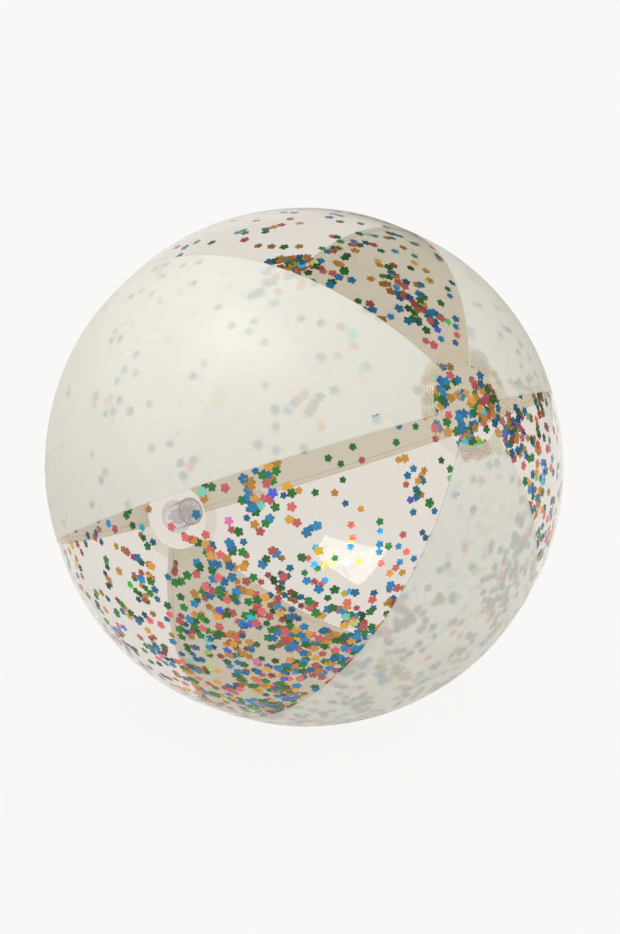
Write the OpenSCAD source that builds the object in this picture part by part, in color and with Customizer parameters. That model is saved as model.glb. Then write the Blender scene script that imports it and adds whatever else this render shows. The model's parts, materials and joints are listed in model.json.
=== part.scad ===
// Inflatable beach ball: six vinyl gores, two end caps, a push-in valve and loose foil confetti.
// The ball lies at rest with its pole axis leaning. The origin is at its centre, +Z is up.

/* [Ball] */
// Diameter of the inflated ball
ball_d = 400; // [340:10:500]
// Thickness of the vinyl film
film_t = 0.28; // [0.2:0.02:0.4]
// Angle of the pole axis above level
pole_lean = 20; // [0:1:45]
// Turn of the first seam about the pole axis
seam_turn = 6; // [0:1:59]
// Width of a welded lap where the ball is widest
lap_w = 5; // [3:0.5:8]

/* [End caps] */
// Diameter of an end cap
cap_d = 80; // [76:1:90]
// Diameter of the window inside the gore tips
window_d = 58; // [54:1:62]
// Concentric weld ribs on an end cap
rib_count = 5; // [3:1:6]
// Radius of a weld rib's section
rib_r = 0.25; // [0.15:0.05:0.4]

/* [Valve] */
// Diameter of the well that the valve is pushed into
well_d = 23; // [23:0.5:26]
// Depth of the well
well_depth = 25; // [22:0.5:30]
// Thickness of the well's soft wall
skirt_t = 0.6; // [0.4:0.1:0.6]
// Diameter of the flange welded to the cap
flange_d = 30; // [28:1:50]
// Outside diameter of the stem
stem_d = 12; // [11:0.5:12.5]
// Bore that a pump nozzle goes into
nozzle_d = 8; // [7:0.1:8.2]
// Bore at the stem's mouth that holds the stopper
mouth_d = 9.2; // [9.2:0.1:9.4]

/* [Confetti] */
// Width across a five-petal blossom
blossom_d = 6; // [4:0.5:8]
// Blossoms of each colour
blossoms_each = 36; // [10:1:40]

/* [Hidden] */
$fn = 360;

cream = [0.93, 0.92, 0.87, 0.95];
clear = [0.86, 0.82, 0.74, 0.4];
violet_grey = [0.72, 0.68, 0.68];

// Film
ball_r = ball_d / 2;
gore_count = 6;
gore_angle = 360 / gore_count;
lap_angle = 360 * lap_w / (PI * ball_d);
tip_angle = asin(window_d / ball_d);
cap_angle = asin(cap_d / ball_d);

// Valve, along its own axis: 0 at the cap's outside, + outwards
well_r = well_d / 2;
flange_t = 0.9;
base_t = 1.2;
base_r = well_r - skirt_t - 0.3;
base_z = -well_depth;
mouth_z = -3.5;
mouth_depth = 6;
lip_t = 1.5;
lip_r = stem_d / 2 + 1.4;
fillet = 1.5;
flap_t = 0.6;
flap_r = nozzle_d / 2 + 1.6;
flap_gap = 0.1;
flap_hinge_w = 4;
bead_r = 0.7;

// Stopper, hinged on its strap beside the mouth
plug_len = 4.5;
plug_gap = 0.1;
plug_taper = 0.9;
head_r = 7;
head_t = 1.4;
tab_reach = 9.8;
tab_w = 5;
tab_t = 1;
hinge_x = -8.9;
strap_w = 4;
strap_t = 0.5;
strap_bend_r = 1.2;
strap_gap = 0.15;

// Confetti
confetti_colours = 5;
foil_t = 0.15;
foil_gap = 0.3;
foil_r = ball_r - 2 * film_t - foil_gap - foil_t;
golden_turn = 180 * (3 - sqrt(5));
settling = 0.72;
valve_keepout = 16;

// Stands the pole axis, +Z in its own frame, at its lean with the plain cap towards -Y
module laid() {
    rotate([90 - pole_lean, 0, 0]) children();
}

// Places the valve's own frame on the lower pole, pointing outwards
module at_valve() {
    laid() translate([0, 0, -ball_r]) rotate([180, 0, 0]) children();
}

// Half-plane sector between two polar angles, measured from +Y of the profile
module sector(from, to) {
    reach = 1.3 * ball_r;
    steps = 6;
    polygon([
        [0, 0],
        for (i = [0:steps]) let (a = from + (to - from) * i / steps) [reach * sin(a), reach * cos(a)]
    ]);
}

// Profile of a film between two radii and two polar angles
module film_profile(r_in, r_out, from, to) {
    intersection() {
        difference() {
            circle(r_out);
            circle(r_in);
        }
        sector(from, to);
    }
}

// One gore: a strip of film from cap to cap, with half a lap past the seam on each side
module gore(index, r_out) {
    laid() rotate([0, 0, seam_turn + gore_angle * index - lap_angle / 2])
        rotate_extrude(angle = gore_angle + lap_angle)
            film_profile(r_out - film_t, r_out, tip_angle, 180 - tip_angle);
}

module gore_cream(index) {
    color(cream) gore(2 * index, ball_r);
}

module gore_clear(index) {
    color(clear) gore(2 * index + 1, ball_r - film_t);
}

// End cap with its weld ribs, over the upper pole
module end_cap() {
    intersection() {
        difference() {
            sphere(ball_r + film_t);
            sphere(ball_r);
        }
        cylinder(d = cap_d, h = 2 * ball_r);
    }
    for (i = [0:rib_count - 1]) {
        rib_angle = tip_angle + (cap_angle - tip_angle) * (i + 0.7) / (rib_count + 0.4);
        rib_at = (ball_r + film_t) * [sin(rib_angle), cos(rib_angle)];
        rotate_extrude() translate(rib_at) circle(rib_r, $fn = 24);
    }
}

module end_cap_plain() {
    color(clear) laid() end_cap();
}

// The lower cap has a hole for the valve
module end_cap_valve() {
    color(clear) laid() mirror([0, 0, 1]) difference() {
        end_cap();
        cylinder(r = well_r, h = 2 * ball_r);
    }
}

// Ring welded inside the lower cap
module valve_flange() {
    color(violet_grey) laid() mirror([0, 0, 1]) rotate_extrude() intersection() {
        difference() {
            circle(ball_r);
            circle(ball_r - flange_t);
        }
        translate([well_r, 0]) square([flange_d / 2 - well_r, 2 * ball_r]);
    }
}

// Soft wall of the well, with a bead around its inner end
module valve_skirt() {
    skirt_end = base_z - 0.6;
    color(violet_grey) at_valve() rotate_extrude() {
        translate([well_r - skirt_t, skirt_end]) square([skirt_t, -skirt_end - 0.5]);
        translate([well_r - skirt_t / 2, skirt_end]) circle(bead_r, $fn = 24);
    }
}

// Stem with its base disc and lip, bored for the nozzle and the stopper
module valve_stem() {
    color(violet_grey) at_valve() difference() {
        union() {
            translate([0, 0, base_z]) cylinder(r = base_r, h = base_t);
            translate([0, 0, base_z + base_t]) cylinder(r1 = stem_d / 2 + fillet, r2 = stem_d / 2, h = fillet);
            translate([0, 0, base_z]) cylinder(d = stem_d, h = mouth_z - base_z);
            translate([0, 0, mouth_z - lip_t]) cylinder(r = lip_r, h = lip_t);
        }
        translate([0, 0, base_z - 1]) cylinder(d = nozzle_d, h = well_depth);
        translate([0, 0, mouth_z - mouth_depth]) cylinder(d = mouth_d, h = mouth_depth + 1);
    }
}

// Non-return flap that closes the inner end of the bore, with the round root that it bends at
module valve_flap() {
    color(violet_grey) at_valve() translate([0, 0, base_z - flap_gap - flap_t]) {
        cylinder(r = flap_r, h = flap_t);
        translate([-flap_r, flap_hinge_w / 2, flap_t / 2]) rotate([90, 0, 0])
            cylinder(d = flap_t, h = flap_hinge_w);
    }
}

// Tapered plug with its head and pull tab
module valve_stopper() {
    plug_r = mouth_d / 2 - plug_gap;
    color(violet_grey) at_valve() translate([0, 0, mouth_z + plug_gap]) {
        translate([0, 0, -plug_len]) cylinder(r1 = plug_r - plug_taper, r2 = plug_r, h = plug_len);
        cylinder(r = head_r, h = head_t);
        translate([0, -tab_w / 2, (head_t - tab_t) / 2]) cube([tab_reach, tab_w, tab_t]);
    }
}

// Strap that bends as the stopper's hinge, from the lip round to the head
module stopper_strap() {
    leg = -hinge_x;
    color(violet_grey) at_valve() difference() {
        translate([hinge_x, strap_w / 2, mouth_z]) rotate([90, 0, 0]) linear_extrude(strap_w) {
            difference() {
                circle(strap_bend_r);
                circle(strap_bend_r - strap_t);
                translate([0, -strap_bend_r]) square(2 * strap_bend_r);
            }
            translate([0, -strap_bend_r]) square([leg, strap_t]);
            translate([0, strap_bend_r - strap_t]) square([leg, strap_t]);
        }
        translate([0, 0, mouth_z - well_depth]) cylinder(r = lip_r, h = well_depth);
        translate([0, 0, mouth_z - 1]) cylinder(r = head_r + strap_gap, h = well_depth);
    }
}

// Five-petal blossom cut from foil
module blossom() {
    linear_extrude(foil_t) {
        circle(d = 0.4 * blossom_d);
        for (petal = [0:4])
            rotate(72 * petal) translate([0.29 * blossom_d, 0]) circle(d = 0.42 * blossom_d);
    }
}

// Blossoms of one colour against the inside of the film, closer together towards the bottom
module confetti(colour_index) {
    count = blossoms_each * confetti_colours;
    for (k = [0:blossoms_each - 1]) {
        i = k * confetti_colours + colour_index;
        height = 1 - 2 * pow((i + 0.5) / count, settling);
        polar = acos(height);
        turn = i * golden_turn;
        towards_valve = sin(polar) * sin(turn) * cos(pole_lean) - cos(polar) * sin(pole_lean);
        if (towards_valve < cos(valve_keepout))
            rotate([0, polar, turn]) translate([0, 0, foil_r]) rotate(turn) blossom();
    }
}

module confetti_blue() {
    color([0.16, 0.42, 0.72]) confetti(0);
}

module confetti_coral() {
    color([0.86, 0.36, 0.38]) confetti(1);
}

module confetti_mustard() {
    color([0.86, 0.58, 0.24]) confetti(2);
}

module confetti_green() {
    color([0.16, 0.5, 0.26]) confetti(3);
}

module confetti_iridescent() {
    color([0.66, 0.86, 0.9, 0.8]) confetti(4);
}

gore_cream(0);  // gore_cream_1
gore_cream(1);  // gore_cream_2
gore_cream(2);  // gore_cream_3
gore_clear(0);  // gore_clear_1
gore_clear(1);  // gore_clear_2
gore_clear(2);  // gore_clear_3
end_cap_plain();
end_cap_valve();
valve_flange();
valve_skirt();
valve_stem();
valve_flap();
valve_stopper();
stopper_strap();
confetti_blue();
confetti_coral();
confetti_mustard();
confetti_green();
confetti_iridescent();
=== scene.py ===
"""Looks of the inflatable beach ball: vinyl gores, ribbed end caps, a push-in valve and foil confetti."""

import json
import math

import bpy
import numpy as np
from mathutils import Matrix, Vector


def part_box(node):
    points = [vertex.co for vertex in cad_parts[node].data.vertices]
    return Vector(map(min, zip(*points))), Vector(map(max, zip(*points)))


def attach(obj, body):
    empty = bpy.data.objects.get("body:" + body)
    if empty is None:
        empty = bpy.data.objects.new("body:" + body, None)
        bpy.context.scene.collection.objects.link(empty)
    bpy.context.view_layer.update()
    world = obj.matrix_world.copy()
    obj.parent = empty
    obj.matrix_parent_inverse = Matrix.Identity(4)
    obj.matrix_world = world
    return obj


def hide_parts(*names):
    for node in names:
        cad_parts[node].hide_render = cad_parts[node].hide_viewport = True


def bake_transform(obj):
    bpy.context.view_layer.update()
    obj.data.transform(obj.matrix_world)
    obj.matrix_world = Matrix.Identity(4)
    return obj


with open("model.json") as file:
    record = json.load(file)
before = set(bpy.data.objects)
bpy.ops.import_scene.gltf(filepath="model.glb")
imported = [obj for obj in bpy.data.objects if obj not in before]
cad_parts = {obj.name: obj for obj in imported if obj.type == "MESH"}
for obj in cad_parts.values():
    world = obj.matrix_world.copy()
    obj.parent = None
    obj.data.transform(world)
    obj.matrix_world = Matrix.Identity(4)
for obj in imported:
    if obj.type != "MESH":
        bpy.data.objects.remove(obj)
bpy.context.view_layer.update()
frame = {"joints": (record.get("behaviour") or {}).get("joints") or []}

bl_info = {
    "name": "Confetti Beach Ball",
    "version": (1, 0, 0),
    "blender": (4, 5, 0),
    "location": "View3D > Sidebar > Beach Ball",
    "description": "Builds the film, caps, valve and confetti of an inflatable beach ball",
    "category": "Add Mesh",
}

MM = 0.001
GORES = 6
GORE_TURN = 2 * math.pi / GORES
CREAM_GORES = (0, 2, 4)
CLEAR_GORES = (1, 3, 5)
CRISP_EDGE = math.radians(38)
WHITE = (1.0, 1.0, 1.0)

# Radius in millimetres of the pinhole that keeps a turned solid's inner edge off its axis.
PINHOLE_R = 0.02

# The ball's own axes, from the frame: the plain cap's pole, and two axes across it.
BALL_R = -Vector(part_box("gore_cream_3")[0]).z
CAP_R = Vector(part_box("end_cap_plain")[1]).x
JOINTS = {joint["name"]: joint for joint in frame["joints"]}
VALVE_AXIS = Vector(JOINTS["stem_slide"]["axis"]).normalized()
POLE = -VALVE_AXIS
SIDE = Vector((1.0, 0.0, 0.0))
RISE = POLE.cross(SIDE)


# ---------------------------------------------------------------- settings


def length(name, description, default, low=0.0, high=1.0):
    """A length in metres."""
    return bpy.props.FloatProperty(
        name=name,
        description=description,
        default=default,
        min=low,
        max=high,
        subtype="DISTANCE",
        unit="LENGTH",
    )


def share(name, description, default, high=1.0):
    """A plain number from nothing to a limit."""
    return bpy.props.FloatProperty(name=name, description=description, default=default, min=0.0, max=high)


def whole(name, description, default, low=1):
    """A whole number from a least value."""
    return bpy.props.IntProperty(name=name, description=description, default=default, min=low)


def colour(name, description, default):
    """A colour in linear light."""
    return bpy.props.FloatVectorProperty(
        name=name, description=description, default=default, min=0.0, max=1.0, size=3, subtype="COLOR"
    )


def angle(name, description, degrees):
    """An angle, given in degrees."""
    return bpy.props.FloatProperty(
        name=name, description=description, default=math.radians(degrees), subtype="ANGLE", unit="ROTATION"
    )


class FilmShape(bpy.types.PropertyGroup):
    """Shape of the inflated film"""

    film: length("Film", "Thickness of the vinyl film", 0.28 * MM)
    seam_turn: angle("Seam turn", "Turn of the first seam about the pole axis", 6)
    lap: length("Lap", "Width of a welded lap", 5 * MM)
    window_r: length("Window radius", "Radius inside the gore tips at a cap", 29 * MM)
    seam_dip: length("Seam dip", "How far a seam lies below the round of the gores", 1.3 * MM)
    seam_reach: length("Seam reach", "How far from a seam its dip fades out", 26 * MM)
    pucker: length("Pucker", "Height of the small folds along a seam", 0.1 * MM)
    pucker_pitch: length("Pucker pitch", "Distance between folds along a seam", 11 * MM)
    pucker_reach: length("Pucker reach", "How far from a seam the folds fade out", 9 * MM)
    rows: whole("Rows", "Faces of a gore from cap to cap", 220, 40)
    columns: whole("Columns", "Faces across a gore", 44, 12)


class CapShape(bpy.types.PropertyGroup):
    """Shape of the end caps"""

    ribs: whole("Ribs", "Concentric weld ribs", 5)
    rib_height: length("Rib height", "Height of a weld rib", 0.32 * MM)
    hole_r: length("Valve hole", "Radius of the hole for the valve", 11.5 * MM)
    segments: whole("Segments", "Faces around a cap", 144, 32)


class ValveShape(bpy.types.PropertyGroup):
    """Sizes of the push-in valve"""

    well_r: length("Well radius", "Outside radius of the well", 11.5 * MM)
    skirt: length("Skirt", "Thickness of the well's soft wall", 0.6 * MM)
    depth: length("Depth", "Depth of the pushed-in stem's base", 25 * MM)
    flange_r: length("Flange radius", "Outside radius of the welded flange", 15 * MM)
    stem_r: length("Stem radius", "Outside radius of the stem", 6 * MM)
    bore_r: length("Bore radius", "Radius of the nozzle bore", 4 * MM)
    mouth_r: length("Mouth radius", "Radius of the stopper's bore", 4.6 * MM)
    mouth: length("Mouth depth", "Depth of the stem's mouth below the cap", 3.5 * MM)


class FilmLook(bpy.types.PropertyGroup):
    """Colours of the film"""

    cream: colour("Cream", "Milky film seen from outside", (0.90, 0.925, 0.895))
    cream_glow: colour("Cream glow", "Light that the milky film lets through", (0.93, 0.96, 0.93))
    glow_share: share("Glow share", "How much of the milky film's colour is light let through", 0.4)
    # Painted shade: the warm tan of the milky film's inner face stands in for shade and bounced light inside
    # the ball.
    cream_inside_painted_shade: colour("Cream inside", "Milky film seen from inside", (0.97, 0.81, 0.54))
    inside_share: share("Inside share", "How solid the milky film's inner face looks", 0.3)
    cream_open: share("Cream openness", "Share that is seen straight through the milky film", 0.11)
    # Partly painted shade: the film's own warm tint, darkened further to stand in for the shadow on the floor
    # seen through the ball.
    clear_tint_and_shade: colour("Clear tint", "Tint of what is seen through the clear film", (0.90, 0.878, 0.845))
    clear_haze: colour("Clear haze", "Colour of the clear film's own haze", (0.7, 0.63, 0.54))
    haze: share("Haze", "Share of haze in the clear film", 0.012)
    inner_haze: share("Inner haze", "Share of haze on the clear film's inner face", 0.008)
    weld: colour("Weld", "Colour of a welded cap ring", (0.98, 0.92, 0.76))
    weld_tint: colour("Weld tint", "Tint of what is seen through a weld ring", (0.975, 0.955, 0.895))
    weld_haze: share("Weld haze", "How solid a welded cap ring looks", 0.07)
    rib_haze: share("Rib haze", "How much more solid the ring's ribs look", 0.24)
    weld_line: colour("Weld line", "Colour of a lap's edge", (0.5, 0.43, 0.32))


class ConfettiMix(bpy.types.PropertyGroup):
    """Sizes, colours and spread of the foil confetti"""

    width: length("Width", "Width across a five-petal blossom", 6 * MM)
    foil: length("Foil", "Thickness of the foil", 0.06 * MM)
    spacing: length("Spacing", "Least distance between two blossoms", 2.6 * MM)
    base: whole("Scatter", "Blossoms on a square metre of film anywhere", 2300, 0)
    settled: whole("Settled", "Further blossoms on a square metre at the bottom", 16000, 0)
    clump: length("Clump", "Width of a clump of blossoms", 55 * MM)
    clumping: share("Clumping", "How strongly the blossoms gather in clumps", 0.65, 3)
    seed: whole("Seed", "Seed of the scatter", 7, 0)
    blue: colour("Blue", "Blue foil", (0.012, 0.27, 0.62))
    coral: colour("Coral", "Coral foil", (0.84, 0.17, 0.17))
    mustard: colour("Mustard", "Mustard foil", (0.88, 0.42, 0.055))
    green: colour("Green", "Green foil", (0.015, 0.25, 0.035))


class ValveLook(bpy.types.PropertyGroup):
    """Colours of the valve"""

    vinyl: colour("Vinyl", "Soft translucent valve vinyl", (0.84, 0.81, 0.82))
    rim: colour("Rim", "Colour that gathers at the valve's edges", (0.44, 0.36, 0.86))
    through: colour("Through", "Tint of what is seen through the vinyl", (0.985, 0.98, 0.99))
    wall_share: share("Wall share", "How solid the well's thin wall and flange look", 0.2)
    base_share: share("Base share", "How solid the stem and the flap look", 0.2)
    bead_share: share("Bead share", "How solid the bead at the well's inner end looks", 0.6)
    plug_share: share("Plug share", "How solid the stopper and its strap look", 0.12)


class Studio(bpy.types.PropertyGroup):
    """Floor, light and camera"""

    paper: colour("Paper", "Colour of the floor and the backdrop", (0.947, 0.939, 0.922))
    lamp: colour("Lamp", "Colour of the softbox", (1.0, 0.985, 0.95))
    floor_bounce: share("Floor bounce", "Share of the floor's light that falls on the ball", 0.72, 4)
    fill: share("Fill", "Strength of the light from the bright wall", 1.16, 4)
    dim: share("Dim", "Strength of the light from the dark wall", 0.68, 4)
    mirrored: share("Mirrored", "Share of the walls' light that shows in reflections", 0.95, 4)
    wall_azimuth: angle("Wall azimuth", "Compass angle of the bright wall", 0)
    ceiling: share("Ceiling", "Share of the walls' light that comes from above", 0.8, 4)
    softbox: share("Softbox", "Strength of the softbox", 4.5, 40)
    softbox_mirrored: share("Softbox mirrored", "Strength of the softbox in reflections", 16, 40)
    camera_azimuth: angle("Camera azimuth", "Compass angle of the camera", -36.96)
    camera_elevation: angle("Camera elevation", "Angle of the camera above level", 9.17)
    camera_distance: length("Camera distance", "From the ball's centre to the camera", 1.305, 0.5, 5)
    camera_aside: length("Camera aside", "How far the camera aims to the right of the centre", 4.2 * MM)
    lens: share("Lens", "Focal length in millimetres", 64.6, 300)


# Drifts of confetti: compass angle, elevation and spread in degrees, then blossoms on a square metre.
DRIFTS = (
    (-53, -13, 7, 22000),
    (-52, -23, 11, 30000),
    (-44, -32, 12, 27000),
    (-53, -46, 14, 21000),
    (-24, -44, 16, 11000),
    (-82, -17, 11, 5500),
    (-72, -33, 12, 7000),
    (-19, -23, 5, 44000),
    (-44, 4, 6, 48000),
    (-36, -3, 5, 9000),
    (-11, 6, 4, 12000),
    (-7, 23, 3.5, 160000),
    (-2, 14, 4, 170000),
    (5, 19, 3.5, 160000),
    (5, 26, 4, 130000),
    (16, 13, 6, 36000),
    (21, 2, 7, 32000),
    (30, 18, 8, 28000),
    (-39, 52, 6, 72000),
    (-27, 53, 5, 40000),
    (-10, 45, 6, 42000),
    (-3, 39, 4, 46000),
    (16, 66, 12, 10000),
    (-70, 62, 12, 5000),
    (-40, 26, 13, 5500),
    (-60, 15, 16, 2500),
    (4, -28, 14, 24000),
    (13, -14, 10, 14000),
    (34, -16, 16, 8000),
    (150, 40, 22, 2500),
    (120, -20, 25, 3500),
    (-150, -25, 22, 5000),
)
# Nearly bare patches: compass angle, elevation and spread in degrees.
BARE = (
    (-28, -8, 8),
    (-17, 0, 6),
    (-4, 20, 1.8),
    (-24, 6, 5),
    (-20, 45, 5),
)

# Corners of the softbox in metres, counted from the ball's centre.
SOFTBOX_CORNERS = (
    (-0.49, -0.36, 0.53),
    (-0.32, -0.33, 0.68),
    (-0.34, 0.10, 0.76),
    (-0.59, 0.10, 0.58),
    (-0.60, -0.07, 0.55),
)

# Direction of the dark flag that stands to the right of the ball.
DARK_SIDE = (0.985, 0.17, 0.05)

# Radius of the floor in metres.
FLOOR_R = 9


# ---------------------------------------------------------------- geometry helpers


def compass(azimuth, elevation):
    """Unit vector at a compass angle and elevation. Azimuth 0 faces -Y and a quarter turn faces +X."""
    level = math.cos(elevation)
    return Vector((math.sin(azimuth) * level, -math.cos(azimuth) * level, math.sin(elevation)))


def outward(polar, turn):
    """Unit vectors at angles from the plain pole and turns about the pole axis."""
    polar, turn = np.broadcast_arrays(polar, turn)
    side = np.cos(turn)[..., None] * np.array(SIDE) + np.sin(turn)[..., None] * np.array(RISE)
    return np.cos(polar)[..., None] * np.array(POLE) + np.sin(polar)[..., None] * side


def from_seam(shape, polar, turn):
    """Distance in metres to the nearest seam's centre line."""
    off = np.mod(turn - shape.seam_turn + GORE_TURN / 2, GORE_TURN) - GORE_TURN / 2
    return np.abs(off) * np.sin(polar) * BALL_R


def past_seam(shape, index, polar, turn):
    """Distance in metres by which a gore reaches past its seam. It is below zero inside the seams."""
    off = np.abs(turn - shape.seam_turn - GORE_TURN * (index + 0.5)) - GORE_TURN / 2
    return off * np.sin(polar) * BALL_R


def film_radius(shape, polar, turn):
    """Radius of the film's outside: round, a little low along the seams, with small folds beside them."""
    gap = from_seam(shape, polar, turn)
    ease = np.sin(polar) ** 2
    along = polar * BALL_R
    seam = np.round((turn - shape.seam_turn) / GORE_TURN)
    dip = shape.seam_dip * np.exp(-((gap / shape.seam_reach) ** 2)) * ease
    wander = 1.6 * np.sin(along / (3.1 * shape.pucker_pitch) + 2.0 * seam)
    folds = np.sin(2 * np.pi * along / shape.pucker_pitch + wander)
    pucker = shape.pucker * np.exp(-((gap / shape.pucker_reach) ** 2)) * folds * ease
    return BALL_R - dip - shape.pucker + pucker


def object_from(name, mesh):
    """Links a mesh to the scene as a smooth-shaded object with crisp edges."""
    mesh.shade_smooth()
    mesh.set_sharp_from_angle(angle=CRISP_EDGE)
    piece = bpy.data.objects.new(name, mesh)
    bpy.context.scene.collection.objects.link(piece)
    return piece


def sheet_faces(rows, columns, wrap, closed_start, offset):
    """Faces of a closed sheet whose outer grid comes first and whose inner grid starts at offset."""
    across = columns if wrap else columns - 1
    r, c = np.meshgrid(np.arange(rows - 1), np.arange(across), indexing="ij")
    a = (r * columns + c).ravel()
    b = (r * columns + (c + 1) % columns).ravel()
    outer = np.stack([a, a + columns, b + columns, b], 1)
    inner = offset + np.stack([a, b, b + columns, a + columns], 1)
    walls = [outer, inner]
    kinds = [np.zeros(len(a), int), np.ones(len(a), int)]
    first = np.arange(across)
    after = (first + 1) % columns
    last = first + (rows - 1) * columns
    last_after = after + (rows - 1) * columns
    edges = [np.stack([last, last + offset, last_after + offset, last_after], 1)]
    if not closed_start:
        edges.append(np.stack([first, after, after + offset, first + offset], 1))
    if not wrap:
        start = np.arange(rows - 1) * columns
        end = start + columns - 1
        edges.append(np.stack([start, start + offset, start + offset + columns, start + columns], 1))
        edges.append(np.stack([end, end + columns, end + offset + columns, end + offset], 1))
    kinds += [np.zeros(len(e), int) for e in edges]
    faces = np.concatenate(walls + edges).tolist()
    kinds = np.concatenate(kinds).tolist()
    if closed_start:
        ring = list(range(columns))
        faces += [ring, [offset + i for i in reversed(ring)]]
        kinds += [0, 1]
    return faces, kinds


def closed_sheet(name, outer, inner, materials, wrap=False, closed_start=False, **values):
    """A sheet with real thickness between two grids of points. values are numbers kept on its points."""
    rows, columns = outer.shape[:2]
    offset = rows * columns
    faces, kinds = sheet_faces(rows, columns, wrap, closed_start, offset)
    points = np.concatenate([outer.reshape(-1, 3), inner.reshape(-1, 3)])
    mesh = bpy.data.meshes.new(name)
    mesh.from_pydata(points.tolist(), [], faces)
    mesh.polygons.foreach_set("material_index", kinds)
    for material in materials:
        mesh.materials.append(material)
    for key, grid in values.items():
        kept = mesh.attributes.new(key, "FLOAT", "POINT")
        kept.data.foreach_set("value", np.tile(grid.ravel(), 2).astype(np.float32))
    return object_from(name, mesh)


def rounded(outline, radius, steps=3):
    """An outline of (radius, height) corners in millimetres with each corner cut to a small curve."""
    points = []
    corners = [Vector(p) for p in outline]
    for before, corner, after in zip(corners[-1:] + corners[:-1], corners, corners[1:] + corners[:1]):
        to_before, to_after = before - corner, after - corner
        reach = min(radius, 0.45 * to_before.length, 0.45 * to_after.length)
        start = corner + to_before.normalized() * reach
        end = corner + to_after.normalized() * reach
        for i in range(steps + 1):
            t = i / steps
            points.append((1 - t) ** 2 * start + 2 * t * (1 - t) * corner + t * t * end)
    return points


def at_valve(point):
    """A point of the valve's own frame, in millimetres, where z is 0 at the cap and grows outwards."""
    x, y, z = point
    return VALVE_AXIS * BALL_R + (SIDE * x - RISE * y + VALVE_AXIS * z) * MM


def turned(name, outline, material, segments=96):
    """A closed solid turned about the valve's axis from a closed outline that runs anticlockwise."""
    points, faces = [], []
    count = len(outline)
    for s in range(segments):
        a = 2 * math.pi * s / segments
        points += [at_valve((r * math.cos(a), r * math.sin(a), z)) for r, z in outline]
    for s in range(segments):
        here, there = s * count, (s + 1) % segments * count
        for i in range(count):
            j = (i + 1) % count
            faces.append((here + i, there + i, there + j, here + j))
    mesh = bpy.data.meshes.new(name)
    mesh.from_pydata(points, [], faces)
    mesh.materials.append(material)
    return object_from(name, mesh)


def joined(name, pieces):
    """One object from several."""
    with bpy.context.temp_override(active_object=pieces[0], selected_editable_objects=pieces):
        bpy.ops.object.join()
    pieces[0].name = name
    return pieces[0]


# ---------------------------------------------------------------- materials


def new_material(name):
    """An empty node material, with its node tree and output."""
    material = bpy.data.materials.new(name)
    material.use_nodes = True
    tree = material.node_tree
    tree.nodes.clear()
    return material, tree, tree.nodes.new("ShaderNodeOutputMaterial")


def node(tree, kind, inputs=(), **settings):
    """A new node. inputs pairs a socket with a value or with the socket that feeds it."""
    made = tree.nodes.new(kind)
    for key, value in settings.items():
        setattr(made, key, value)
    for key, value in inputs:
        if isinstance(value, bpy.types.NodeSocket):
            tree.links.new(value, made.inputs[key])
        else:
            made.inputs[key].default_value = value
    return made


def maths(tree, operation, first, second=0.0, clamp=False):
    """The result of one sum."""
    inputs = [(0, first), (1, second)]
    return node(tree, "ShaderNodeMath", inputs, operation=operation, use_clamp=clamp).outputs[0]


def kept_value(tree, name):
    """A number kept on the piece's points."""
    return node(tree, "ShaderNodeAttribute", attribute_name=name).outputs["Fac"]


def blended(tree, fac, first, second):
    """A colour between two others."""
    mix = node(tree, "ShaderNodeMix", data_type="RGBA")
    for key, value in ((0, fac), (6, first), (7, second)):
        if isinstance(value, bpy.types.NodeSocket):
            tree.links.new(value, mix.inputs[key])
        else:
            mix.inputs[key].default_value = value
    return mix.outputs[2]


def rgba(rgb):
    """A colour with full strength."""
    return (*rgb, 1.0)


def mixed(tree, fac, first, second):
    """One shader laid over another by a share."""
    return node(tree, "ShaderNodeMixShader", [(0, fac), (1, first), (2, second)]).outputs[0]


def mottle(tree, scale, detail=3.0):
    """Soft cloudy noise fixed to the piece."""
    place = node(tree, "ShaderNodeTexCoord").outputs["Object"]
    found = node(tree, "ShaderNodeTexNoise", [("Vector", place), ("Scale", scale), ("Detail", detail)])
    return found.outputs["Fac"]


def see_through(tree, tint=WHITE):
    """Shader that shows what lies behind, in a tint or in the colour of a socket."""
    if not isinstance(tint, bpy.types.NodeSocket):
        tint = rgba(tint)
    return node(tree, "ShaderNodeBsdfTransparent", [("Color", tint)]).outputs[0]


def gloss(tree, roughness):
    """Clean white mirror shader."""
    return node(tree, "ShaderNodeBsdfGlossy", [("Color", rgba(WHITE)), ("Roughness", roughness)]).outputs[0]


def matt(tree, tint, roughness):
    """Plain matt shader."""
    return node(tree, "ShaderNodeBsdfDiffuse", [("Color", rgba(tint)), ("Roughness", roughness)]).outputs[0]


def plastic(tree, skin, roughness, ior, *more):
    """Plastic shader in the colour of a socket."""
    inputs = [("Base Color", skin), ("Roughness", roughness), ("IOR", ior), *more]
    return node(tree, "ShaderNodeBsdfPrincipled", inputs).outputs[0]


def metal(tree, tone, metallic, roughness):
    """Foil shader in the colour of a socket."""
    inputs = [("Base Color", tone), ("Metallic", metallic), ("Roughness", roughness)]
    return node(tree, "ShaderNodeBsdfPrincipled", inputs).outputs[0]


def grain(tree, strength, distance, height):
    """Fine bump in the surface."""
    inputs = [("Strength", strength), ("Distance", distance), ("Height", height)]
    return node(tree, "ShaderNodeBump", inputs).outputs[0]


def ramp(tree, value, low, high, to_low=0.0, to_high=1.0):
    """A value brought smoothly from one range to another."""
    return node(
        tree,
        "ShaderNodeMapRange",
        [("Value", value), ("From Min", low), ("From Max", high), ("To Min", to_low), ("To Max", to_high)],
        interpolation_type="SMOOTHSTEP",
    ).outputs[0]


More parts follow.
